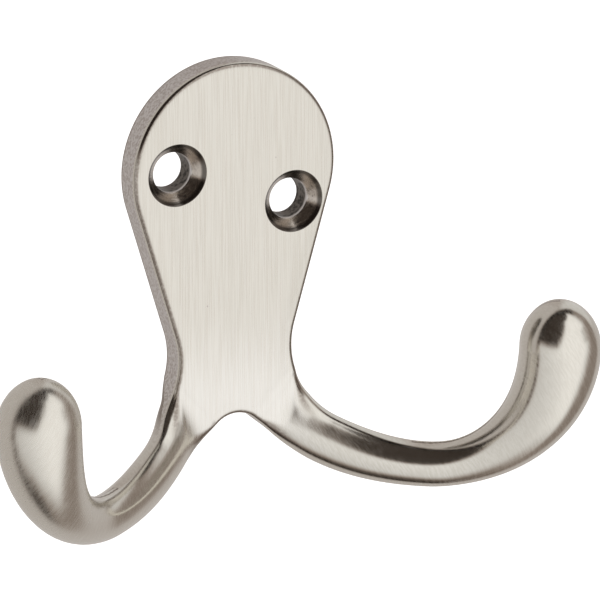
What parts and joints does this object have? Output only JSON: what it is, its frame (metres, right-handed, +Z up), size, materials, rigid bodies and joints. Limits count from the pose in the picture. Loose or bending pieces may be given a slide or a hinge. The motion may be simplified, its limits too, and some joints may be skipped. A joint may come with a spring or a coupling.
{
  "type": "double robe hook",
  "caption": "Cast double robe hook: pear-shaped back plate with staggered countersunk screw holes, forking into upturned prongs with thick rounded tips.",
  "frame": {"origin": "midpoint between the axes of the two screw holes, on the flat back face that lies against the wall", "axes": "+Z up the wall, +Y into the wall, +X to the right as seen from the room; the prongs reach into the room along -Y"},
  "size_m": [0.0748, 0.0257, 0.0505],
  "materials": {
    "satin_nickel": "satin nickel plate"
  },
  "bodies": {
    "root": {"double_hook": "satin_nickel"}
  },
  "joints": []
}
